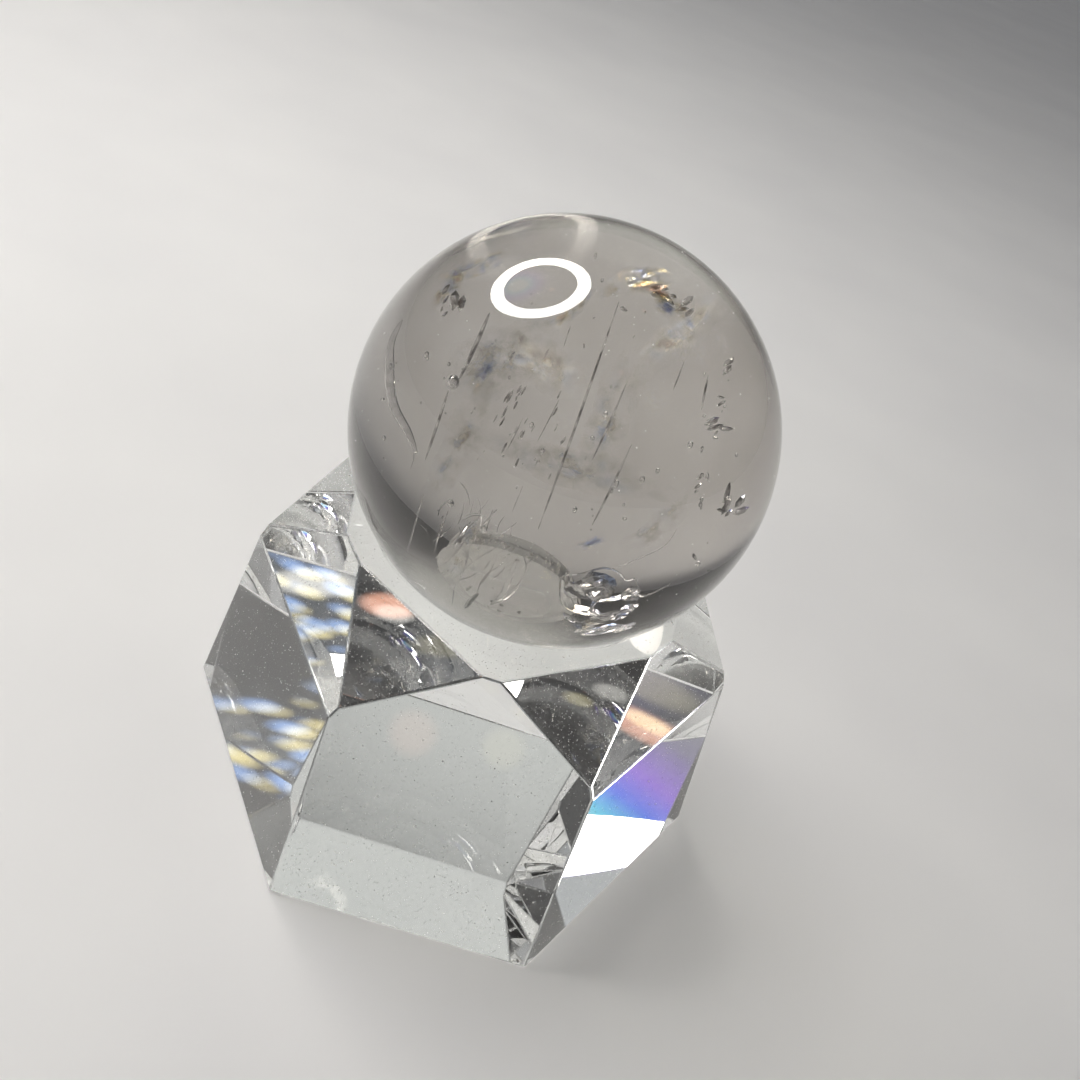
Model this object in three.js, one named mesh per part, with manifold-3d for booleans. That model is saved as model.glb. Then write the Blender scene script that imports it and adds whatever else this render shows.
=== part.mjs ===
// A crystal ball on its display stand: a polished quartz sphere that rests, by its own weight,
// in the spherical hollow of a ground and polished glass block.
// Millimetres, +Z up. The origin is the centre of the stand's flat underside.
import * as THREE from "three";
import { mergeVertices } from "three/addons/utils/BufferGeometryUtils.js";
import Module from "manifold-3d";

// Ball
const ballRadius = 25;
const ballSegments = 48; // round the equator, half as many from pole to pole

// Stand
const standHeight = 36.6;
const ballCentreHeight = 53.7; // the ball sinks 7.9 mm below the stand's top
const hollowGap = 0.3; // between the ball and the hollow that it rests in
const blankRadius = 42; // the rough block, before its facets are ground
const blankMargin = 5; // spare stock above and below the finished height

// The stand's facets repeat every third of a turn. Each set is ground at its own angle.
// azimuths: degrees round the axis; distance: from the axis to the facet at the given height;
// tilt: how far the facet leans back from upright, in degrees.
const thirdTurn = 120;
const frontAzimuth = -90;
const starOffset = 37; // the top facets lie in pairs, this far to either side of each main side
const facetSets = [
  { name: "main side", offsets: [0], distance: 31.25, height: 0, tilt: 8.5 },
  { name: "corner side", offsets: [60], distance: 29.4, height: 0, tilt: 5.3 },
  { name: "shoulder", offsets: [60], distance: 21.9, height: standHeight, tilt: 25.2 },
  { name: "star", offsets: [-starOffset, starOffset], distance: 21.1, height: standHeight, tilt: 45.4 },
];

const quartz = new THREE.MeshStandardMaterial({ color: 0xe9e6e1, roughness: 0.04, metalness: 0 });
const opticalGlass = new THREE.MeshStandardMaterial({ color: 0xdfe6e3, roughness: 0.05, metalness: 0 });

const wasm = await Module();
wasm.setup();

function solidFrom(geometry) {
  geometry.deleteAttribute("normal");
  geometry.deleteAttribute("uv");
  const merged = mergeVertices(geometry, 1e-4);
  return new wasm.Manifold(
    new wasm.Mesh({
      numProp: 3,
      vertProperties: merged.attributes.position.array,
      triVerts: new Uint32Array(merged.index.array),
    }),
  );
}

function geometryFrom(solid) {
  const mesh = solid.getMesh();
  return new THREE.BufferGeometry()
    .setAttribute("position", new THREE.BufferAttribute(mesh.vertProperties, 3))
    .setIndex(new THREE.BufferAttribute(mesh.triVerts, 1))
    .toNonIndexed();
}

// A sphere with its poles on the Z axis.
function sphere(radius, centreHeight) {
  return new THREE.SphereGeometry(radius, ballSegments, ballSegments / 2)
    .rotateX(Math.PI / 2)
    .translate(0, 0, centreHeight);
}

// The block of space outside one facet's plane, which grinding takes away.
function grindingBlock(azimuth, distance, height, tilt) {
  const size = 4 * blankRadius;
  return new THREE.BoxGeometry(size, size, size)
    .translate(size / 2, 0, 0)
    .rotateY(-THREE.MathUtils.degToRad(tilt))
    .translate(distance, 0, height)
    .rotateZ(THREE.MathUtils.degToRad(azimuth));
}

function roughBlock() {
  const height = standHeight + 2 * blankMargin;
  return new THREE.CylinderGeometry(blankRadius, blankRadius, height, ballSegments)
    .rotateX(Math.PI / 2)
    .translate(0, 0, standHeight / 2);
}

// A slab above or below the stand, whose near face is a flat end of the stand.
function endSlab(centreHeight) {
  const width = 4 * blankRadius;
  return new THREE.BoxGeometry(width, width, standHeight).translate(0, 0, centreHeight);
}

function facetedStand() {
  let solid = solidFrom(roughBlock());
  solid = solid.subtract(solidFrom(endSlab(-standHeight / 2)));
  solid = solid.subtract(solidFrom(endSlab(1.5 * standHeight)));
  for (const { offsets, distance, height, tilt } of facetSets) {
    for (let third = 0; third < 3; third++) {
      for (const offset of offsets) {
        const azimuth = frontAzimuth + third * thirdTurn + offset;
        solid = solid.subtract(solidFrom(grindingBlock(azimuth, distance, height, tilt)));
      }
    }
  }
  const hollow = solidFrom(sphere(ballRadius + hollowGap, ballCentreHeight));
  return geometryFrom(solid.subtract(hollow));
}

function namedMesh(name, geometry, material) {
  geometry.computeVertexNormals();
  const mesh = new THREE.Mesh(geometry, material);
  mesh.name = name;
  return mesh;
}

const crystalBall = new THREE.Group();
crystalBall.add(namedMesh("faceted_stand", facetedStand(), opticalGlass));
crystalBall.add(namedMesh("crystal_ball", sphere(ballRadius, ballCentreHeight), quartz));

export default crystalBall;
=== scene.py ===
"""A natural quartz ball on its faceted glass stand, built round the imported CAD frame. Metres, +Z up."""

import math
import random

import bmesh
import bpy
from mathutils import Matrix, Vector, noise


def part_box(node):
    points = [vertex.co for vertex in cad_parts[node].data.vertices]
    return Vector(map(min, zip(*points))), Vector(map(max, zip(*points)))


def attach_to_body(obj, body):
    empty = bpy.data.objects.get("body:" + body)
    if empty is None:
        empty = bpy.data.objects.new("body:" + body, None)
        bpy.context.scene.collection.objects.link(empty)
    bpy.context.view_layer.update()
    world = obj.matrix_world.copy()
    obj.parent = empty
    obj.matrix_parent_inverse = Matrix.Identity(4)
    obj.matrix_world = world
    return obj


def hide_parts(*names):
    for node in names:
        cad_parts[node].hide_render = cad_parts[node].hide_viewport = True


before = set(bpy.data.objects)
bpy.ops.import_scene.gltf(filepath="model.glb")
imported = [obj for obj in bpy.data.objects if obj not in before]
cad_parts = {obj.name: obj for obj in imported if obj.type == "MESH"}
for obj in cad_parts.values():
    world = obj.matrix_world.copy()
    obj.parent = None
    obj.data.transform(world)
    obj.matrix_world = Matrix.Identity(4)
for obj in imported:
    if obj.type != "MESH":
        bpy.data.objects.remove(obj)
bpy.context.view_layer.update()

# ---------------------------------------------------------------- driving dimensions, from the frame
MM = 0.001
BALL_LOW, BALL_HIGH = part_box("crystal_ball")
BALL_CENTRE = (BALL_LOW + BALL_HIGH) / 2
BALL_RADIUS = (BALL_HIGH - BALL_LOW).z / 2
STAND_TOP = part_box("faceted_stand")[1].z

HOLLOW_GAP = 0.3 * MM  # between the ball and the hollow, as in the frame
HOLLOW_CHAMFER = 0.4 * MM
HOLLOW_STEPS = 40  # from its middle to its rim
EDGE_ROUNDING = 0.24 * MM
LEAST_FACET_AREA = 30 * MM * MM  # the stand's flat facets are larger, the hollow's strips smaller
FLOOR_GAP = 0.2 * MM  # the film of air that lets the polished base mirror what is above it

QUARTZ_IOR = 1.544
GLASS_IOR = 1.517

# Camera: a close three-quarter view from above, with the camera rolled
VIEW_AZIMUTH = -95.7  # degrees
VIEW_ELEVATION = 33.2  # degrees
VIEW_ROLL = math.radians(21.4)
VIEW_DISTANCE = 6.41 * BALL_RADIUS
VIEW_AIM = Vector((1.9, -0.2, 38.7)) * MM
VIEW_LENS = 43.5
SENSOR_WIDTH = 36.0

MAX_BOUNCES = 24  # a view through the ball and the stand crosses many surfaces
MAX_MIRRORINGS = 12


def polar(azimuth, elevation, distance=1.0):
    """The point at that azimuth and elevation in degrees, and distance, from the origin."""
    a, e = math.radians(azimuth), math.radians(elevation)
    return Vector((math.cos(e) * math.cos(a), math.cos(e) * math.sin(a), math.sin(e))) * distance


# ---------------------------------------------------------------- helpers
def new_object(name, mesh):
    made = bpy.data.objects.new(name, mesh)
    bpy.context.scene.collection.objects.link(made)
    return made


def object_from(name, bm, material, smooth=True, inward=False):
    bmesh.ops.recalc_face_normals(bm, faces=bm.faces)
    if inward:
        bmesh.ops.reverse_faces(bm, faces=bm.faces)
    for face in bm.faces:
        face.smooth = smooth
    mesh = bpy.data.meshes.new(name)
    bm.to_mesh(mesh)
    bm.free()
    mesh.materials.append(material)
    return new_object(name, mesh)


def attach(piece, body):
    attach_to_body(piece, body)


class NodeTree:
    """What a material's nodes and the sky's have in common."""

    def __init__(self, owner):
        owner.use_nodes = True
        self.nodes = owner.node_tree.nodes
        self.links = owner.node_tree.links

    def ramp(self, source, stops):
        node = self.nodes.new("ShaderNodeValToRGB")
        elements = node.color_ramp.elements
        while len(elements) < len(stops):
            elements.new(0.5)
        for element, (place, colour) in zip(elements, stops):
            element.position = place
            element.color = (*colour, 1)
        self.links.new(source, node.inputs[0])
        return node.outputs["Color"]


class Shader(NodeTree):
    """A new material's nodes, with its Principled shader, and short ways to add to them."""

    def __init__(self, name):
        self.material = bpy.data.materials.new(name)
        super().__init__(self.material)
        self.principled = next(n for n in self.nodes if n.type == "BSDF_PRINCIPLED")
        self.output = next(n for n in self.nodes if n.type == "OUTPUT_MATERIAL")
        self.place = self.add("ShaderNodeTexCoord").outputs["Object"]

    def add(self, kind, **settings):
        node = self.nodes.new(kind)
        for name, value in settings.items():
            setattr(node, name, value)
        return node

    def set(self, **values):
        for name, value in values.items():
            self.principled.inputs[name.replace("_", " ")].default_value = value

    def noise(self, per_mm, detail=2.0, roughness=0.5):
        node = self.add("ShaderNodeTexNoise")
        node.inputs["Scale"].default_value = per_mm / MM
        node.inputs["Detail"].default_value = detail
        node.inputs["Roughness"].default_value = roughness
        self.links.new(self.place, node.inputs["Vector"])
        return node.outputs["Fac"]

    def spread(self, source, low, high, start=0.3, end=0.7):
        """source, from start to end, spread over low to high."""
        node = self.add("ShaderNodeMapRange")
        for name, value in (("From Min", start), ("From Max", end), ("To Min", low), ("To Max", high)):
            node.inputs[name].default_value = value
        self.links.new(source, node.inputs["Value"])
        return node.outputs["Result"]

    def feed(self, name, source):
        self.links.new(source, self.principled.inputs[name])

    def bump(self, height, strength, distance):
        node = self.add("ShaderNodeBump")
        node.inputs["Strength"].default_value = strength
        node.inputs["Distance"].default_value = distance
        self.links.new(height, node.inputs["Height"])
        self.links.new(node.outputs["Normal"], self.principled.inputs["Normal"])

    def let_lamps_through(self, share):
        """Rays from the lamps pass the glass, dimmed to share, and light what is in it and under it."""
        path = self.add("ShaderNodeLightPath")
        clear = self.add("ShaderNodeBsdfTransparent")
        clear.inputs["Color"].default_value = (share, share, share, 1)
        mix = self.add("ShaderNodeMixShader")
        self.links.new(path.outputs["Is Shadow Ray"], mix.inputs[0])
        self.links.new(self.principled.outputs[0], mix.inputs[1])
        self.links.new(clear.outputs[0], mix.inputs[2])
        self.links.new(mix.outputs[0], self.output.inputs["Surface"])


# ---------------------------------------------------------------- camera, floor and lights
def make_camera():
    data = bpy.data.cameras.new("camera")
    data.sensor_width = SENSOR_WIDTH
    data.lens = VIEW_LENS
    data.clip_start = 5 * MM
    camera = new_object("camera", data)
    backward = polar(VIEW_AZIMUTH, VIEW_ELEVATION)
    level = backward.to_track_quat("Z", "Y").to_matrix().to_4x4()
    place = Matrix.Translation(VIEW_AIM + backward * VIEW_DISTANCE)
    camera.matrix_world = place @ level @ Matrix.Rotation(VIEW_ROLL, 4, "Z")
    bpy.context.scene.camera = camera
    return camera


FLOOR_HALF_SIZE = 4.0
FLOOR_GREYS = [(0.3, (0.76, 0.76, 0.765)), (0.7, (0.8, 0.8, 0.8))]


def make_floor():
    mesh = bpy.data.meshes.new("floor")
    signs = ((-1, -1), (1, -1), (1, 1), (-1, 1))
    corners = [(x * FLOOR_HALF_SIZE, y * FLOOR_HALF_SIZE, -FLOOR_GAP) for x, y in signs]
    mesh.from_pydata(corners, [], [(0, 1, 2, 3)])
    shader = Shader("floor")
    shader.set(Roughness=0.55)
    shader.feed("Base Color", shader.ramp(shader.noise(0.02), FLOOR_GREYS))
    mesh.materials.append(shader.material)
    new_object("floor", mesh)


# The directions of the lights were found by tracing views through the glass, then rounded and moved.
# The studio is dim, with broad soft lights: azimuth, elevation and half width in degrees, colour, brightness
BROAD_LIGHTS = [
    (82, 30, 22, (0.98, 1.0, 0.96), 0.52),
    (137, 32, 7, (0.93, 0.97, 1.0), 0.45),
    (18, 58, 14, (0.75, 0.87, 1.0), 0.09),
    (146, 60, 12, (0.95, 0.97, 1.0), 0.07),
    (-20, 30, 22, (1.0, 0.98, 0.95), 0.30),
    (190, 25, 20, (0.95, 0.98, 1.0), 0.30),
    (-80, 40, 16, (1.0, 1.0, 1.0), 0.30),
]

# Small lights that the facets break into glints: azimuth, elevation, half width, colour, brightness
WARM, YELLOW, PALE = (1.0, 0.5, 0.34), (1.0, 0.9, 0.5), (1.0, 0.97, 0.9)
SMALL_LIGHTS = [
    (26.5, 57.0, 1.3, PALE, 0.8),
    (48.5, 70.0, 1.1, WARM, 0.9),
    (46.5, 70.3, 0.8, PALE, 0.5),
    (36, 70.4, 1.2, YELLOW, 0.14),
    (107.5, 74.2, 0.7, PALE, 0.35),
    (113.5, 75.4, 0.6, YELLOW, 0.25),
    (148.5, 61.5, 1.3, WARM, 0.8),
    (147.6, 61.2, 0.7, YELLOW, 0.6),
    (143, 59.0, 1.3, YELLOW, 0.2),
    (87, 45.4, 1.0, WARM, 0.09),
    (81.5, 44.6, 0.9, YELLOW, 0.07),
    (-60, 64.0, 1.4, WARM, 0.8),
]

# Where strings of smaller lights still hang: azimuth, elevation and half width in degrees
GLINT_PATCHES = [
    (19, 58, 8),
    (22, 45, 4.5),
    (41, 32, 4),
    (-35, 48, 7),
    (-125, 52, 7),
    (-150, 40, 6),
    (-100, 33, 6),
]
GLINTS_ACROSS = 26.0  # how many glints fit in one radian
GLINT_SQUASH = (1.0, 1.0, 3.6)  # they are flattened
GLINT_COLOURS = [  # how far each colour's glints are moved, and the colour
    (Vector((0, 0, 0)), (0.9, 0.76, 0.34)),
    (Vector((0.012, -0.009, 0.0)), (0.28, 0.46, 0.86)),
]

# One light is split into its colours round its edge: direction, then colours by angle in degrees from it
PRISM_DIRECTION = polar(150.9, 47.5)
PRISM_COLOURS = [
    (3.0, (0.9, 1.0, 1.0)),
    (4.5, (0.1, 0.75, 1.0)),
    (6.3, (0.05, 0.16, 1.0)),
    (8.2, (0.3, 0.12, 0.8)),
    (11.0, (0.16, 0.14, 0.26)),
    (14.0, (0.0, 0.0, 0.0)),
]


class Sky(NodeTree):
    """The world's nodes, which add lights up by their directions."""

    def __init__(self, name):
        world = bpy.data.worlds.new(name)
        bpy.context.scene.world = world
        super().__init__(world)
        self.direction = self.nodes.new("ShaderNodeTexCoord").outputs["Generated"]
        self.total = None

    def facing(self, direction):
        """The cosine of the angle from direction."""
        node = self.nodes.new("ShaderNodeVectorMath")
        node.operation = "DOT_PRODUCT"
        node.inputs[1].default_value = direction
        self.links.new(self.direction, node.inputs[0])
        return node.outputs["Value"]

    def sum_of(self, colours):
        total = colours[0]
        for colour in colours[1:]:
            node = self.nodes.new("ShaderNodeVectorMath")
            self.links.new(total, node.inputs[0])
            self.links.new(colour, node.inputs[1])
            total = node.outputs[0]
        return total

    def add(self, colour):
        self.total = self.sum_of([self.total, colour]) if self.total else colour

    def light(self, azimuth, elevation, half_width, colour, brightness):
        soft = self.nodes.new("ShaderNodeMapRange")
        soft.interpolation_type = "SMOOTHSTEP"
        soft.inputs["From Min"].default_value = math.cos(math.radians(1.3 * half_width))
        soft.inputs["From Max"].default_value = math.cos(math.radians(0.5 * half_width))
        self.links.new(self.facing(polar(azimuth, elevation)), soft.inputs["Value"])
        light = self.nodes.new("ShaderNodeVectorMath")
        light.operation = "SCALE"
        light.inputs[0].default_value = Vector(colour) * brightness
        self.links.new(soft.outputs["Result"], light.inputs["Scale"])
        return light.outputs[0]


def glint_pattern(sky, shift, colour):
    """Round spots of one colour, scattered over the sky, moved by shift."""
    moved = sky.nodes.new("ShaderNodeVectorMath")
    moved.operation = "MULTIPLY_ADD"
    moved.inputs[1].default_value = GLINT_SQUASH
    moved.inputs[2].default_value = shift
    sky.links.new(sky.direction, moved.inputs[0])
    cells = sky.nodes.new("ShaderNodeTexVoronoi")
    cells.inputs["Scale"].default_value = GLINTS_ACROSS
    sky.links.new(moved.outputs[0], cells.inputs["Vector"])
    return sky.ramp(cells.outputs["Distance"], [(0.0, colour), (0.2, colour), (0.5, (0, 0, 0))])


def add_glints(sky):
    """Strings of small lights, each split a little into yellow on one side and blue on the other."""
    patches = sky.sum_of([sky.light(*patch, (1, 1, 1), 1.0) for patch in GLINT_PATCHES])
    for shift, colour in GLINT_COLOURS:
        masked = sky.nodes.new("ShaderNodeVectorMath")
        masked.operation = "MULTIPLY"
        sky.links.new(glint_pattern(sky, shift, colour), masked.inputs[0])
        sky.links.new(patches, masked.inputs[1])
        sky.add(masked.outputs[0])


# The sky's own grey, by height from the horizon at 0 to overhead at 1
SKY_GREYS = [
    (0.0, (0.05, 0.05, 0.05)),
    (0.25, (0.09, 0.087, 0.083)),
    (0.6, (0.08, 0.077, 0.074)),
    (0.9, (0.035, 0.034, 0.034)),
]


def make_world():
    """Dim grey air, a little lighter towards the horizon, with round soft lights in it."""
    sky = Sky("studio")
    split = sky.nodes.new("ShaderNodeSeparateXYZ")
    sky.links.new(sky.direction, split.inputs[0])
    sky.add(sky.ramp(split.outputs["Z"], SKY_GREYS))
    for light in BROAD_LIGHTS + SMALL_LIGHTS:
        sky.add(sky.light(*light))
    add_glints(sky)
    angle = sky.nodes.new("ShaderNodeMath")
    angle.operation = "ARCCOSINE"
    sky.links.new(sky.facing(PRISM_DIRECTION), angle.inputs[0])
    share = [(math.radians(degrees), colour) for degrees, colour in PRISM_COLOURS]
    sky.add(sky.ramp(angle.outputs[0], share))
    sky.links.new(sky.total, sky.nodes["Background"].inputs["Color"])


RING_DIRECTION = polar(150.7, 57.2)
RING_DISTANCE = 0.45
RING_HALF_WIDTH = math.radians(16.6)  # as seen from the ball
RING_TUBE = 0.16  # the tube's radius, as a share of the ring's
RING_COLOUR = (1.0, 0.97, 0.92, 1)
RING_STRENGTH = 18.0


def torus(radius, tube, turns=96, sides=16):
    bm = bmesh.new()
    rings = []
    for i in range(turns):
        a = 2 * math.pi * i / turns
        ring = []
        for j in range(sides):
            b = 2 * math.pi * j / sides
            out = radius + tube * math.cos(b)
            ring.append(bm.verts.new((out * math.cos(a), out * math.sin(a), tube * math.sin(b))))
        rings.append(ring)
    for i in range(turns):
        for j in range(sides):
            here, there = rings[i], rings[(i + 1) % turns]
            k = (j + 1) % sides
            bm.faces.new((here[j], there[j], there[k], here[k]))
    return bm


def make_ring_lamp():
    radius = RING_DISTANCE * math.tan(RING_HALF_WIDTH)
    shader = Shader("ring_lamp")
    shader.set(Emission_Color=RING_COLOUR, Emission_Strength=RING_STRENGTH)
    lamp = object_from("ring_lamp", torus(radius, radius * RING_TUBE), shader.material)
    turn = RING_DIRECTION.to_track_quat("Z", "Y").to_matrix().to_4x4()
    lamp.matrix_world = Matrix.Translation(BALL_CENTRE + RING_DIRECTION * RING_DISTANCE) @ turn


# ---------------------------------------------------------------- materials
def quartz_material():
    """Polished rock crystal, tinted warm grey in patches as painted shade that darkens the clear stone, with
    patches of haze and the lightest ripple from polishing.
    """
    shader = Shader("quartz")
    shader.set(IOR=QUARTZ_IOR, Transmission_Weight=1.0)
    # Painted shade: a warm grey tint, in patches, darkens the clear stone against the pale floor.
    shade_tint = [(0.3, (0.46, 0.435, 0.405)), (0.7, (0.63, 0.605, 0.575))]
    shader.feed("Base Color", shader.ramp(shader.noise(0.06), shade_tint))
    shader.feed("Roughness", shader.spread(shader.noise(0.25, 5.0, 0.7), 0.0, 0.02, 0.5, 0.8))
    shader.bump(shader.noise(0.12, 1.0), 0.02, 0.05 * MM)
    shader.let_lamps_through(0.7)
    return shader.material


def glass_material():
    """Polished clear glass, with smears and the fine waves that polishing leaves on its facets."""
    shader = Shader("optical_glass")
    shader.set(IOR=GLASS_IOR, Transmission_Weight=1.0)
    tint = [(0.3, (0.95, 0.97, 0.96)), (0.7, (0.975, 0.985, 0.98))]
    shader.feed("Base Color", shader.ramp(shader.noise(0.05), tint))
    shader.feed("Roughness", shader.spread(shader.noise(0.3, 5.0, 0.7), 0.0, 0.025, 0.5, 0.8))
    shader.bump(shader.noise(0.12, 1.0), 0.02, 0.05 * MM)
    shader.let_lamps_through(0.6)
    return shader.material


def edge_material():
    """The stand's edges, where the polish stops: the same glass, ground fine, with small chips."""
    shader = Shader("ground_edge")
    shader.set(IOR=GLASS_IOR, Transmission_Weight=1.0)
    shader.feed("Base Color", shader.ramp(shader.noise(1.5), [(0.3, (0.93, 0.95, 0.95)), (0.7, (1, 1, 1))]))
    shader.feed("Roughness", shader.spread(shader.noise(2.5, 4.0), 0.05, 0.25))
    shader.bump(shader.noise(3.0, 2.0), 0.1, 0.02 * MM)
    return shader.material


def fracture_material():
    """An open crack in the stone mirrors the light like foil, faint blue and gold where it is thinnest."""
    shader = Shader("fracture")
    shader.set(Metallic=1.0)
    tints = [
        (0.32, (0.55, 0.68, 1.0)),
        (0.45, (0.97, 0.97, 1.0)),
        (0.6, (1, 1, 0.98)),
        (0.72, (1.0, 0.86, 0.6)),
    ]
    shader.feed("Base Color", shader.ramp(shader.noise(0.5, 3.0), tints))
    shader.feed("Roughness", shader.spread(shader.noise(1.2, 3.0), 0.04, 0.3))
    shader.bump(shader.noise(1.6, 4.0, 0.6), 0.5, 0.15 * MM)
    return shader.material


def cavity_material(name, patch_shade):
    """The wall of a cavity or open crack, darkened in patches as painted shade, deepest on the tubes, cracks
    and grains. Its faces point inwards.
    """
    shader = Shader(name)
    shader.set(IOR=QUARTZ_IOR, Transmission_Weight=1.0)
    # Painted shade: the walls are darkened in patches towards the given colour.
    shader.feed("Base Color", shader.ramp(shader.noise(1.2), [(0.35, patch_shade), (0.65, (1, 1, 1))]))
    shader.feed("Roughness", shader.spread(shader.noise(4.0), 0.0, 0.06))
    shader.bump(shader.noise(5.0, 2.0), 0.1, 0.02 * MM)
    return shader.material


def see_through_material(name, tints, metallic, thickness):
    """A cloud of specks too small to see, or a film, in patches that thin out towards its edge."""
    shader = Shader(name)
    shader.set(Metallic=metallic)
    shader.feed("Base Color", shader.ramp(shader.noise(0.8, 3.0), tints))
    shader.feed("Roughness", shader.spread(shader.noise(2.0), 0.2, 0.6 - 0.4 * metallic))
    shader.bump(shader.noise(3.0, 4.0), 0.5, 0.1 * MM)
    fade = shader.add("ShaderNodeAttribute", attribute_name="fade").outputs["Fac"]
    cloud = shader.add("ShaderNodeMath", operation="MULTIPLY")
    shader.links.new(fade, cloud.inputs[0])
    shader.links.new(shader.spread(shader.noise(0.7, 6.0, 0.65), 0.0, thickness, 0.4, 0.66), cloud.inputs[1])
    clear = shader.add("ShaderNodeBsdfTransparent")
    mix = shader.add("ShaderNodeMixShader")
    shader.links.new(cloud.outputs[0], mix.inputs[0])
    shader.links.new(clear.outputs[0], mix.inputs[1])
    shader.links.new(shader.principled.outputs[0], mix.inputs[2])
    shader.links.new(mix.outputs[0], shader.output.inputs["Surface"])
    return shader.material


def dust_material():
    shader = Shader("dust")
    greys = [(0.35, (0.75, 0.74, 0.72)), (0.65, (0.95, 0.95, 0.95))]
    shader.feed("Base Color", shader.ramp(shader.noise(1.0), greys))
    shader.feed("Roughness", shader.spread(shader.noise(4.0), 0.7, 1.0))
    shader.bump(shader.noise(12.0, 2.0), 0.5, 0.02 * MM)
    return shader.material


def veil_material():
    tints = [(0.35, (0.42, 0.34, 0.26)), (0.5, (0.98, 0.94, 0.8)), (0.62, (0.7, 0.8, 1.0))]
    return see_through_material("veil", tints, 0.0, 0.7)


def rainbow_material():
    """A crack as thin as a wave of light, which splits it into colours as oil on water does."""
    tints = [
        (0.34, (0.4, 0.52, 1.0)),
        (0.44, (0.9, 0.95, 1.0)),
        (0.54, (1.0, 0.85, 0.4)),
        (0.66, (1.0, 0.6, 0.35)),
    ]
    return see_through_material("rainbow_crack", tints, 1.0, 1.0)


# ---------------------------------------------------------------- ball
def attach_cavity(name, bm, material, smooth=True):
    """A hollow in the stone: its faces point inwards, and it moves with the ball."""
    attach(object_from(name, bm, material, smooth, inward=True), "ball")


def make_ball():
    bm = bmesh.new()
    bmesh.ops.create_uvsphere(bm, u_segments=160, v_segments=80, radius=BALL_RADIUS)
    bmesh.ops.translate(bm, verts=bm.verts, vec=BALL_CENTRE)
    ball = object_from("quartz_sphere", bm, quartz_material())
    attach(ball, "ball")
    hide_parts("crystal_ball")


class View:
    """Finds the place in the ball that the camera sees, through the curved surface, at a given spot."""

    def __init__(self, camera):
        self.eye = camera.matrix_world.translation.copy()
        axes = camera.matrix_world.to_3x3()
        ahead = (BALL_CENTRE - self.eye).normalized()
        self.right = (axes.col[0] - ahead * axes.col[0].dot(ahead)).normalized()
        self.up = (axes.col[1] - ahead * axes.col[1].dot(ahead)).normalized()
        self.backward = -ahead
        distance = (BALL_CENTRE - self.eye).length
        self.outline = BALL_RADIUS / math.sqrt(1 - (BALL_RADIUS / distance) ** 2)

    def inside(self, right, up, depth):
        """right and up are in outline radii from its middle. depth is 0 at the near surface, 1 at the far."""
        target = BALL_CENTRE + (self.right * right + self.up * up) * self.outline
        ray = (target - self.eye).normalized()
        offset = self.eye - BALL_CENTRE
        reach = offset.dot(ray)
        half_chord = math.sqrt(max(reach**2 - offset.length_squared + BALL_RADIUS**2, 0))
        entry = self.eye + ray * (-reach - half_chord)
        normal = (entry - BALL_CENTRE).normalized()
        ratio = 1 / QUARTZ_IOR
        cosine = -ray.dot(normal)
        bent = ratio * ray + (ratio * cosine - math.sqrt(1 - ratio**2 * (1 - cosine**2))) * normal
        chord = -2 * bent.dot(entry - BALL_CENTRE)
        return entry + bent * chord * depth

    def turned(self, turn, tilt):
        """Two axes across the view, turned anticlockwise by turn degrees, the second leaning away by tilt."""
        spin = Matrix.Rotation(math.radians(turn), 3, self.backward)
        across = spin @ self.right
        along = Matrix.Rotation(math.radians(tilt), 3, across) @ (spin @ self.up)
        return across, along


def sweep(bm, points, side, half_width, half_thickness, sides=8):
    """A closed body along points, with an oval section that narrows to both ends and is widest along side."""
    count = len(points)
    rings = []
    for i, point in enumerate(points):
        along = (points[min(i + 1, count - 1)] - points[max(i - 1, 0)]).normalized()
        across = (side - along * side.dot(along)).normalized()
        other = along.cross(across)
        taper = math.sin(math.pi * (i + 0.6) / (count + 0.2)) ** 0.5
        ring = []
        for j in range(sides):
            a = 2 * math.pi * j / sides
            offset = across * math.cos(a) * half_width + other * math.sin(a) * half_thickness
            ring.append(bm.verts.new(point + offset * taper))
        rings.append(ring)
    for low, high in zip(rings, rings[1:]):
        for j in range(sides):
            k = (j + 1) % sides
            bm.faces.new((low[j], low[k], high[k], high[j]))
    bm.faces.new(rings[0][::-1])
    bm.faces.new(rings[-1])


def curve_through(corners, steps=14):
    """Points on a smooth curve through the corners (Catmull-Rom)."""
    ends = [corners[0] * 2 - corners[1]] + corners + [corners[-1] * 2 - corners[-2]]
    points = []
    for a, b, c, d in zip(ends, ends[1:], ends[2:], ends[3:]):
        for i in range(steps):
            t = i / steps
            point = 2 * b + (c - a) * t + (2 * a - 5 * b + 4 * c - d) * t**2 + (3 * b - a - 3 * c + d) * t**3
            points.append(point / 2)
    return points + [corners[-1]]
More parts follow.
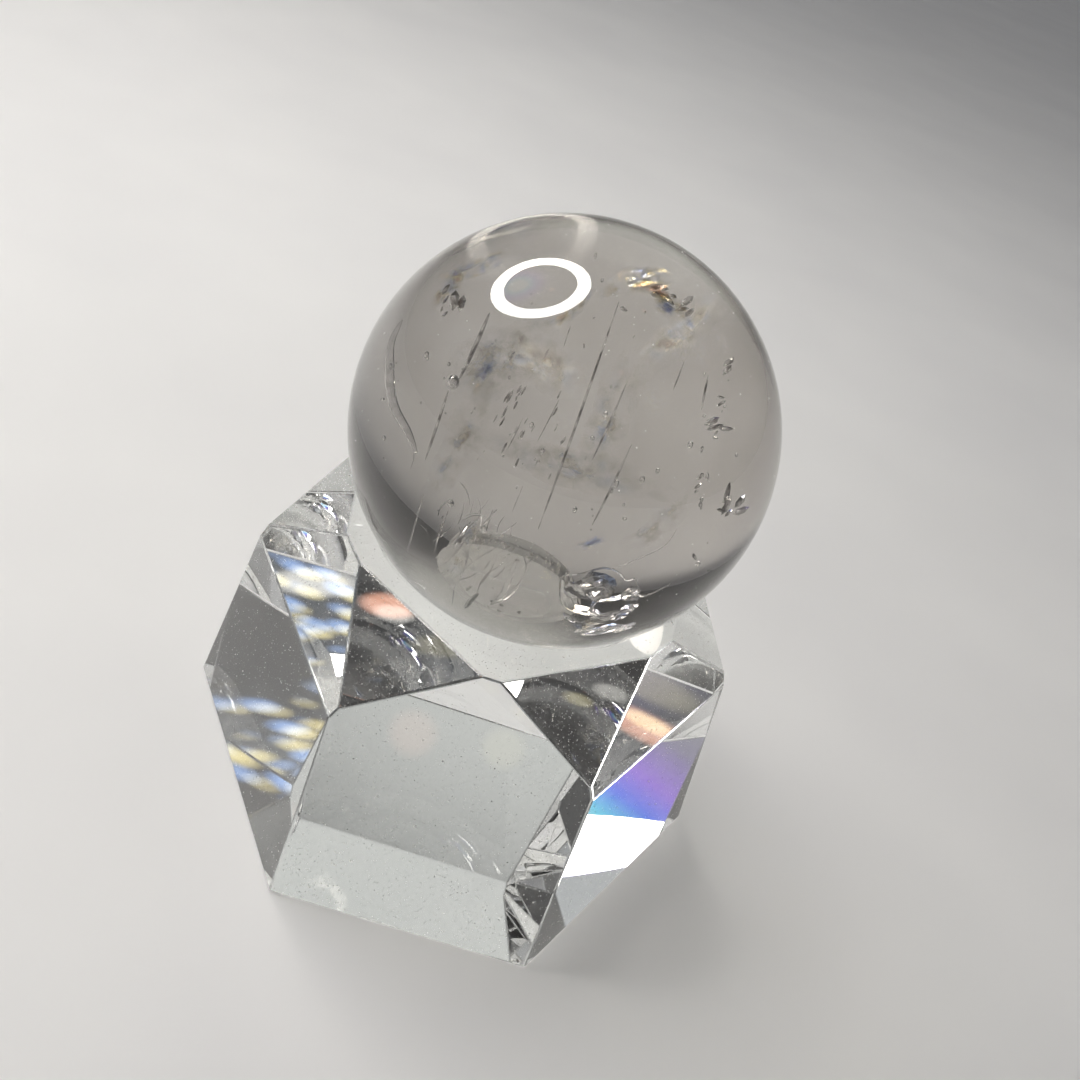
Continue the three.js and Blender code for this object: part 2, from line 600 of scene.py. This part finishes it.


# The inclusions' places were read from the photograph, in outline radii, and their depths are guessed.
# Growth tubes: from, to, each as (right, up, depth) in the camera's view of the ball, and half width in mm
GROWTH_TUBES = [
    ((0.25, 0.60, 0.45), (-0.12, -0.44, 0.40), 0.10),
    ((0.29, 0.24, 0.35), (0.13, -0.12, 0.33), 0.09),
    ((0.31, -0.05, 0.32), (0.13, -0.42, 0.30), 0.10),
    ((-0.34, 0.55, 0.42), (-0.48, 0.25, 0.40), 0.18),
    ((-0.53, 0.20, 0.42), (-0.64, -0.12, 0.40), 0.12),
    ((-0.65, -0.28, 0.30), (-0.73, -0.55, 0.30), 0.08),
    ((-0.53, -0.34, 0.30), (-0.60, -0.54, 0.30), 0.08),
    ((-0.19, -0.24, 0.35), (-0.24, -0.36, 0.35), 0.05),
    ((-0.33, -0.35, 0.30), (-0.37, -0.46, 0.30), 0.08),
    ((-0.02, 0.16, 0.55), (-0.12, -0.03, 0.55), 0.04),
    ((-0.19, 0.07, 0.55), (-0.26, -0.07, 0.55), 0.04),
    ((0.03, 0.49, 0.60), (0.00, 0.40, 0.60), 0.04),
    ((0.55, 0.33, 0.55), (0.50, 0.20, 0.55), 0.05),
    ((0.66, 0.27, 0.55), (0.63, 0.11, 0.55), 0.08),
]


def make_growth_tubes(view):
    rng = random.Random(5)
    bm = bmesh.new()
    for start, end, half_width in GROWTH_TUBES:
        a, b = view.inside(*start), view.inside(*end)
        bow = view.right * rng.uniform(-0.012, 0.012) * (b - a).length
        corners = [a, a.lerp(b, 0.35) + bow, a.lerp(b, 0.7) + bow, b]
        sweep(bm, curve_through(corners), view.right, half_width * MM, half_width * MM * 0.6)
    # Painted shade: the tubes' walls are darkened in patches.
    attach_cavity("growth_tubes", bm, cavity_material("growth_tube", (0.15, 0.14, 0.13)))


# The larger cracks of the fan: corners as (right, up), all at about the same depth, and half width in mm
FAN_DEPTH = 0.25
FAN_CRACKS = [
    ([(-0.22, -0.41), (-0.27, -0.45), (-0.33, -0.49)], 0.10),
    ([(-0.19, -0.56), (-0.18, -0.64), (-0.25, -0.75), (-0.34, -0.79)], 0.14),
    ([(-0.22, -0.58), (-0.25, -0.66), (-0.29, -0.75), (-0.34, -0.79)], 0.10),
    ([(-0.34, -0.54), (-0.43, -0.60), (-0.53, -0.69)], 0.08),
    ([(-0.36, -0.61), (-0.43, -0.66), (-0.50, -0.69), (-0.52, -0.79)], 0.08),
    ([(-0.40, -0.74), (-0.43, -0.77), (-0.46, -0.81)], 0.12),
    ([(-0.11, -0.55), (-0.17, -0.60), (-0.20, -0.63)], 0.05),
    ([(0.20, -0.63), (0.29, -0.60), (0.46, -0.52), (0.52, -0.44)], 0.05),
    ([(0.34, -0.74), (0.38, -0.75), (0.50, -0.69)], 0.08),
    ([(-0.31, -0.35), (-0.37, -0.42), (-0.36, -0.46)], 0.06),
]
SMALL_CRACKS = 44


def make_crack_fan(view):
    rng = random.Random(11)
    bm = bmesh.new()

    def crack(corners, depth, half_width):
        places = [view.inside(right, up, depth + 0.02 * i) for i, (right, up) in enumerate(corners)]
        side = view.backward + view.up * rng.uniform(-1, 1)
        sweep(bm, curve_through(places, 8), side, half_width * 2.5 * MM, half_width * 0.6 * MM, 6)

    for corners, half_width in FAN_CRACKS:
        crack(corners, FAN_DEPTH, half_width)
    for _ in range(SMALL_CRACKS):
        right, up = rng.gauss(-0.5, 0.13), rng.gauss(-0.58, 0.12)
        if math.hypot(right, up) > 0.86:
            continue
        heading = math.radians(rng.gauss(62, 14))
        length = rng.uniform(0.05, 0.17)
        bend = rng.uniform(-0.25, 0.25)
        corners = []
        for i in range(4):
            turned = heading + bend * (i - 1.5)
            across, along = math.cos(turned) * length * i / 3, math.sin(turned) * length * i / 3
            corners.append((right + across, up + along))
        crack(corners, rng.uniform(0.18, 0.35), rng.uniform(0.03, 0.07))
    # Painted shade: the cracks' walls are darkened in patches.
    attach_cavity("crack_fan", bm, cavity_material("open_crack", (0.25, 0.22, 0.2)))


def ragged_plate(bm, centre, axes, half_sizes, seed, rings=3, spokes=11, unevenness=0.3, curl=0.0):
    """A closed thin plate, with a ragged outline and uneven faces. Its fade layer falls to 0 at its edge."""
    fade = bm.verts.layers.float.get("fade") or bm.verts.layers.float.new("fade")
    across, along = axes
    outward = across.cross(along)
    half_length, half_width = half_sizes
    thickness = 0.05 * half_width

    def add(ring, spoke, side):
        a = 2 * math.pi * spoke / spokes
        round_it = Vector((math.cos(a), math.sin(a), seed * 3.7))
        reach = 1 + 0.4 * noise.noise(round_it * 1.5) + unevenness * noise.noise(round_it * 4)
        x, y = math.cos(a) * reach * ring / rings, math.sin(a) * reach * ring / rings
        height = unevenness * noise.noise(Vector((3 * x, 3 * y, seed))) - curl * x * x
        place = centre + across * x * half_length + along * y * half_width + outward * height * half_width
        made = bm.verts.new(place + outward * side * thickness * (1.1 - ring / rings))
        made[fade] = 1 - ring / rings
        return made

    layers = []
    for side in (1, -1):
        middle = add(0, 0, side)
        rows = [[add(ring, spoke, side) for spoke in range(spokes)] for ring in range(1, rings + 1)]
        layers.append(rows[-1])
        for j in range(spokes):
            k = (j + 1) % spokes
            bm.faces.new((middle, rows[0][j], rows[0][k]))
            for low, high in zip(rows, rows[1:]):
                bm.faces.new((low[j], high[j], high[k], low[k]))
    top, under = layers
    for j in range(spokes):
        k = (j + 1) % spokes
        bm.faces.new((top[j], under[j], under[k], top[k]))


# The fracture at the ball's foot: slabs as (right, up), half length and width in mm, turn and tilt in degrees
FRACTURE_DEPTH = 0.3
FRACTURE_SLABS = [
    (0.15, -0.71, 2.3, 1.3, 5, 12),
    (0.05, -0.73, 1.2, 0.8, -35, 40),
    (0.24, -0.76, 1.9, 0.6, 10, -50),
    (0.31, -0.74, 0.9, 0.8, 60, 20),
    (0.10, -0.82, 1.6, 0.55, -20, -30),
    (0.20, -0.85, 2.2, 0.6, 15, 35),
    (0.28, -0.83, 1.3, 0.7, 40, -20),
    (0.04, -0.87, 1.3, 0.35, -50, 25),
    (0.10, -0.90, 1.1, 0.35, 30, 50),
    (0.17, -0.91, 2.3, 0.6, 8, 10),
    (0.28, -0.90, 1.2, 0.5, 20, 45),
    (0.14, -0.78, 1.2, 0.3, 75, -40),
]
FRACTURE_RIM = [
    (0.07, -0.84),
    (-0.01, -0.79),
    (-0.02, -0.73),
    (-0.01, -0.66),
    (0.07, -0.65),
    (0.18, -0.62),
    (0.25, -0.64),
    (0.29, -0.68),
    (0.33, -0.67),
    (0.345, -0.73),
    (0.33, -0.80),
]


def make_fracture(view):
    bm = bmesh.new()
    for seed, (right, up, half_length, half_width, turn, tilt) in enumerate(FRACTURE_SLABS):
        centre = view.inside(right, up, FRACTURE_DEPTH)
        ragged_plate(bm, centre, view.turned(turn, tilt), (half_length * MM, half_width * MM), seed)
    rim = [view.inside(right, up, FRACTURE_DEPTH) for right, up in FRACTURE_RIM]
    sweep(bm, curve_through(rim, 3), view.backward, 0.3 * MM, 0.09 * MM, 4)
    bmesh.ops.triangulate(bm, faces=bm.faces)
    attach(object_from("fracture_slabs", bm, fracture_material(), smooth=False), "ball")


# Healed cracks: (right, up, depth), half length and width in mm, turn and tilt in degrees, curl
VEILS = [
    ((0.43, -0.42, 0.40), 3.4, 1.0, 38, 35, 0.6),
    ((-0.30, 0.34, 0.60), 4.6, 2.4, 30, 30, 0.2),
    ((-0.08, 0.31, 0.65), 3.2, 1.9, -25, -35, 0.3),
    ((0.05, -0.16, 0.70), 6.0, 1.8, -14, 45, 0.2),
    ((-0.48, -0.05, 0.60), 4.2, 1.5, 62, 30, 0.3),
    ((0.50, 0.42, 0.60), 4.2, 1.8, 35, -40, 0.2),
    ((-0.45, -0.50, 0.50), 3.6, 1.6, 55, 25, 0.2),
    ((0.20, 0.05, 0.75), 4.5, 1.6, 70, 20, 0.2),
]
RAINBOW_CRACKS = [
    ((-0.40, 0.76, 0.50), 2.8, 1.1, 25, 40, 0.4),
    ((-0.52, 0.66, 0.55), 2.2, 0.8, 60, 30, 0.4),
    ((0.34, 0.70, 0.50), 2.8, 1.1, 10, -30, 0.4),
    ((0.46, 0.60, 0.50), 2.6, 0.8, -40, -20, 0.4),
    ((0.02, 0.56, 0.60), 1.8, 0.7, 35, 25, 0.3),
    ((-0.36, 0.28, 0.55), 2.2, 0.8, 55, 30, 0.3),
    ((0.13, -0.50, 0.35), 1.8, 0.5, 20, 30, 0.3),
]
FILM_DEPTH = 0.35
FILM = [
    (-0.74, 0.52),
    (-0.79, 0.42),
    (-0.80, 0.31),
    (-0.80, 0.22),
    (-0.78, 0.12),
    (-0.72, 0.01),
    (-0.68, -0.09),
]


def make_veils(view):
    kinds = (
        ("healed_veils", VEILS, veil_material()),
        ("rainbow_cracks", RAINBOW_CRACKS, rainbow_material()),
    )
    for name, veils, material in kinds:
        bm = bmesh.new()
        for seed, (spot, half_length, half_width, turn, tilt, curl) in enumerate(veils):
            sizes = (half_length * MM, half_width * MM)
            axes = view.turned(turn, tilt)
            ragged_plate(bm, view.inside(*spot), axes, sizes, seed + 0.5, 10, 48, 0.2, curl)
        attach(object_from(name, bm, material), "ball")


def make_film(view):
    bm = bmesh.new()
    edge = [view.inside(right, up, FILM_DEPTH) for right, up in FILM]
    sweep(bm, curve_through(edge, 10), view.right, 0.5 * MM, 0.05 * MM)
    attach_cavity("open_film", bm, cavity_material("film", (0.8, 0.8, 0.8)))


# Bubbles and negative crystals: (right, up, depth), half length in mm, stretch
BUBBLES = [
    ((-0.51, 0.235, 0.40), 0.62, 1.15),
    ((-0.37, -0.44, 0.30), 0.45, 1.6),
    ((-0.525, -0.32, 0.30), 0.32, 1.0),
    ((0.24, -0.23, 0.31), 0.42, 1.8),
    ((0.05, -0.35, 0.35), 0.28, 1.4),
    ((0.28, -0.39, 0.30), 0.2, 1.0),
    ((0.19, 0.09, 0.36), 0.26, 1.4),
    ((0.13, -0.02, 0.45), 0.2, 1.0),
    ((-0.15, 0.04, 0.5), 0.24, 1.3),
    ((-0.10, -0.08, 0.5), 0.24, 1.5),
    ((0.36, -0.21, 0.4), 0.3, 1.3),
    ((0.43, -0.17, 0.4), 0.24, 1.5),
    ((-0.79, 0.31, 0.4), 0.3, 1.2),
    ((-0.63, 0.36, 0.4), 0.28, 1.3),
    ((-0.83, -0.02, 0.4), 0.22, 1.1),
    ((0.58, -0.05, 0.45), 0.3, 1.3),
    ((0.62, -0.60, 0.4), 0.25, 1.2),
]
SMALL_BUBBLES = 60


def bubble(bm, centre, half_length, stretch, axis, fineness=3):
    """A round cavity, or an angular one where fineness is 1."""
    turn = axis.to_track_quat("Z", "Y").to_matrix().to_4x4()
    sizes = Matrix.Diagonal((1 / stretch, 1 / stretch, 1, 1)) * half_length
    sizes[3][3] = 1
    place = Matrix.Translation(centre) @ turn @ sizes
    bmesh.ops.create_icosphere(bm, subdivisions=fineness, radius=1, matrix=place)


def make_bubbles(view):
    rng = random.Random(3)
    bm = bmesh.new()
    axis = (view.inside(0.2, 0.5, 0.4) - view.inside(-0.1, -0.4, 0.4)).normalized()
    for spot, half_length, stretch in BUBBLES:
        bubble(bm, view.inside(*spot), half_length * MM, stretch, axis)
    for _ in range(SMALL_BUBBLES):
        r, a = 0.85 * math.sqrt(rng.random()), rng.uniform(0, 2 * math.pi)
        spot = view.inside(r * math.cos(a), r * math.sin(a), rng.uniform(0.15, 0.85))
        bubble(bm, spot, rng.uniform(0.06, 0.16) * MM, rng.uniform(1, 2.2), axis)
    attach_cavity("bubbles", bm, cavity_material("bubble", (0.85, 0.85, 0.85)))


# Angular cavities and grains: (right, up, depth), half length in mm, turn in degrees, how many side by side
GRAINS = [
    ((0.75, 0.31, 0.50), 0.9, 35, 2),
    ((0.735, 0.16, 0.50), 0.9, 25, 2),
    ((0.71, 0.04, 0.50), 1.1, 30, 3),
    ((0.69, -0.01, 0.50), 0.7, 20, 2),
    ((0.63, -0.08, 0.50), 0.6, 60, 1),
    ((0.64, -0.20, 0.50), 0.9, 50, 2),
    ((0.62, -0.25, 0.50), 0.7, 20, 2),
    ((0.78, -0.32, 0.45), 1.4, 45, 4),
    ((0.74, -0.36, 0.45), 0.8, 15, 2),
    ((0.55, 0.57, 0.55), 0.9, 20, 3),
    ((0.41, 0.66, 0.55), 1.1, -35, 2),
    ((0.48, 0.62, 0.55), 0.9, -30, 2),
    ((-0.51, 0.62, 0.45), 1.3, 50, 4),
    ((-0.55, 0.56, 0.45), 0.9, 65, 2),
    ((0.13, 0.52, 0.50), 0.5, 40, 1),
    ((0.28, 0.57, 0.50), 0.5, 20, 2),
    ((0.09, 0.40, 0.50), 0.4, 70, 1),
]
DASHES = 26
NOISE_SEED = 21  # without one, noise_vector differs from run to run
NOISE_PER_METRE = 2500
ROUGHENING = 0.07  # how far, in mm, the noise moves the cavities' corners


def make_grains(view):
    noise.seed_set(NOISE_SEED)
    rng = random.Random(21)
    bm = bmesh.new()
    for spot, half_length, turn, count in GRAINS:
        across, along = view.turned(turn, 0)
        for i in range(count):
            offset = (i - (count - 1) / 2) * 0.45 * half_length
            aside = rng.uniform(-0.4, 0.4)
            centre = view.inside(*spot) + (along * offset + across * aside * half_length) * MM
            length = half_length * rng.uniform(0.35, 0.65) * MM
            axis = across + along * rng.uniform(-0.7, 0.7) + view.backward * rng.uniform(-0.6, 0.6)
            bubble(bm, centre, length, rng.uniform(1.8, 3.6), axis.normalized(), 1)
    across, along = view.turned(60, 0)
    for _ in range(DASHES):
        centre = view.inside(rng.gauss(-0.17, 0.09), rng.gauss(0.08, 0.12), rng.uniform(0.4, 0.6))
        bubble(bm, centre, rng.uniform(0.25, 0.6) * MM, rng.uniform(4, 7), across, 1)
    for vertex in bm.verts:
        vertex.co += noise.noise_vector(vertex.co * NOISE_PER_METRE) * ROUGHENING * MM
    # Painted shade: the cavities' walls are darkened in patches.
    attach_cavity("angular_cavities", bm, cavity_material("crystal_cavity", (0.12, 0.1, 0.09)), smooth=False)


# ---------------------------------------------------------------- stand
def facet_planes(node):
    """The planes of a CAD node's flat facets, as (normal, distance), from its coplanar triangles."""
    areas = {}
    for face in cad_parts[node].data.polygons:
        normal = face.normal
        key = tuple(round(c, 3) for c in normal) + (round(normal.dot(face.center), 5),)
        areas[key] = areas.get(key, 0) + face.area
    large = [key for key, area in areas.items() if area > LEAST_FACET_AREA]
    return [(Vector(key[:3]).normalized(), key[3]) for key in large]


def faceted_block():
    """The stand's block, cut by its facets' planes, with rounded edges."""
    bm = bmesh.new()
    bmesh.ops.create_cube(bm, size=4 * STAND_TOP)
    for normal, distance in facet_planes("faceted_stand"):
        whole = bm.verts[:] + bm.edges[:] + bm.faces[:]
        cut = bmesh.ops.bisect_plane(
            bm, geom=whole, dist=1e-6, plane_co=normal * distance, plane_no=normal, clear_outer=True
        )
        edges = [e for e in cut["geom_cut"] if isinstance(e, bmesh.types.BMEdge)]
        bmesh.ops.contextual_create(bm, geom=edges)
    bmesh.ops.recalc_face_normals(bm, faces=bm.faces)
    bmesh.ops.bevel(
        bm, geom=bm.edges[:], offset=EDGE_ROUNDING, segments=3, profile=0.5, affect="EDGES", material=1
    )
    return bm


def lathe(profile, turns=160):
    """A closed solid of revolution about Z. The profile's points are (radius, height), from axis to axis."""
    bm = bmesh.new()
    first = bm.verts.new((0, 0, profile[0][1]))
    last = bm.verts.new((0, 0, profile[-1][1]))
    rings = []
    for radius, height in profile[1:-1]:
        ring = []
        for i in range(turns):
            a = 2 * math.pi * i / turns
            ring.append(bm.verts.new((radius * math.cos(a), radius * math.sin(a), height)))
        rings.append(ring)
    for i in range(turns):
        j = (i + 1) % turns
        bm.faces.new((first, rings[0][j], rings[0][i]))
        bm.faces.new((last, rings[-1][i], rings[-1][j]))
        for low, high in zip(rings, rings[1:]):
            bm.faces.new((low[i], low[j], high[j], high[i]))
    return bm


def hollow_cutter():
    """The space of the hollow: part of a sphere, with a small chamfer at its rim, and room above it."""
    radius = BALL_RADIUS + HOLLOW_GAP
    rim_angle = math.acos((BALL_CENTRE.z - STAND_TOP + HOLLOW_CHAMFER) / radius)
    angles = [rim_angle * i / HOLLOW_STEPS for i in range(HOLLOW_STEPS + 1)]
    profile = [(radius * math.sin(a), BALL_CENTRE.z - radius * math.cos(a)) for a in angles]
    flare = 5 * HOLLOW_CHAMFER
    outer = profile[-1][0] + flare
    profile.append((outer, STAND_TOP - HOLLOW_CHAMFER + flare))
    profile.append((outer, STAND_TOP + 2 * flare))
    profile.append((0, STAND_TOP + 2 * flare))
    return object_from("hollow_cutter", lathe(profile), edge_material())


def make_stand():
    stand = object_from("glass_block", faceted_block(), glass_material(), smooth=False)
    stand.data.materials.append(edge_material())
    cutter = hollow_cutter()
    cut = stand.modifiers.new("hollow", "BOOLEAN")
    cut.operation = "DIFFERENCE"
    cut.solver = "EXACT"
    cut.object = cutter
    bpy.context.view_layer.update()
    evaluated = stand.evaluated_get(bpy.context.evaluated_depsgraph_get())
    finished = bpy.data.meshes.new_from_object(evaluated)
    stand.modifiers.clear()
    stand.data = finished
    bpy.data.objects.remove(cutter)
    radius = BALL_RADIUS + HOLLOW_GAP
    for face in finished.polygons:
        if abs((face.center - BALL_CENTRE).length - radius) < 0.05 * MM:
            face.use_smooth = True
            face.material_index = 0
    attach(stand, "stand")
    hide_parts("faceted_stand")
    return stand


# ---------------------------------------------------------------- dust
STAND_FLECKS = 14000
STAND_FIBRES = 26
BALL_FLECKS = 500


def add_fleck(bm, rng, spot, normal):
    """A speck of dust: a low three-sided point."""
    size = rng.lognormvariate(-2.75, 0.4) * MM
    turn = Matrix.Rotation(rng.uniform(0, 2 * math.pi), 3, normal)
    across = turn @ normal.orthogonal().normalized()
    along = normal.cross(across) * rng.uniform(0.4, 1)
    corners = ((1, 0), (-0.4, 0.9), (-0.5, -0.8))
    base = [bm.verts.new(spot + (across * x + along * y) * size) for x, y in corners]
    tip = bm.verts.new(spot + normal * size * 0.6)
    bm.faces.new(base[::-1])
    for a, b in zip(base, base[1:] + base[:1]):
        bm.faces.new((a, b, tip))


def add_fibre(bm, rng, spot, normal):
    """A short bowed fibre that lies on the surface."""
    across = Matrix.Rotation(rng.uniform(0, 2 * math.pi), 3, normal) @ normal.orthogonal().normalized()
    half = rng.uniform(0.25, 0.7) * MM
    bow = normal.cross(across) * half * rng.uniform(-0.8, 0.8)
    lift = normal * 0.03 * MM
    corners = [spot - across * half + lift, spot + bow + lift * 2, spot + across * half + lift]
    sweep(bm, curve_through(corners, 6), normal, 0.012 * MM, 0.012 * MM, 5)


def facet_spots(stand, rng):
    """Endless random places on the stand's flat facets, as (place, normal), most of them facing up."""
    facets = [f for f in stand.data.polygons if f.area > LEAST_FACET_AREA and f.normal.z > -0.5]
    weights = [f.area * (0.15 + max(f.normal.z, 0)) for f in facets]
    stand.data.calc_loop_triangles()
    triangles = {}
    for triangle in stand.data.loop_triangles:
        triangles.setdefault(triangle.polygon_index, []).append(triangle)
    while True:
        facet = rng.choices(facets, weights)[0]
        parts = triangles[facet.index]
        part = rng.choices(parts, [t.area for t in parts])[0]
        a, b, c = (stand.data.vertices[v].co for v in part.vertices)
        u, v = sorted((rng.random(), rng.random()))
        yield a * u + b * (v - u) + c * (1 - v), facet.normal.copy()


def ball_spots(rng):
    """Endless random places on the upper part of the ball."""
    while True:
        height = rng.uniform(-0.2, 1)
        around = rng.uniform(0, 2 * math.pi)
        level = math.sqrt(1 - height**2)
        normal = Vector((level * math.cos(around), level * math.sin(around), height))
        yield BALL_CENTRE + normal * BALL_RADIUS, normal


def make_dust(stand):
    rng = random.Random(7)
    material = dust_material()
    bm = bmesh.new()
    spots = facet_spots(stand, rng)
    for _ in range(STAND_FLECKS):
        add_fleck(bm, rng, *next(spots))
    for _ in range(STAND_FIBRES):
        add_fibre(bm, rng, *next(spots))
    attach(object_from("stand_dust", bm, material, smooth=False), "stand")
    bm = bmesh.new()
    spots = ball_spots(rng)
    for _ in range(BALL_FLECKS):
        add_fleck(bm, rng, *next(spots))
    attach(object_from("ball_dust", bm, material, smooth=False), "ball")


# ---------------------------------------------------------------- the scene
def main():
    camera = make_camera()
    view = View(camera)
    make_floor()
    make_world()
    make_ring_lamp()
    make_ball()
    make_growth_tubes(view)
    make_crack_fan(view)
    make_fracture(view)
    make_bubbles(view)
    make_grains(view)
    make_veils(view)
    make_film(view)
    make_dust(make_stand())
    scene = bpy.context.scene
    scene.cycles.max_bounces = MAX_BOUNCES
    scene.cycles.transmission_bounces = MAX_BOUNCES
    scene.cycles.glossy_bounces = MAX_MIRRORINGS
    scene.view_settings.view_transform = "Standard"


main()
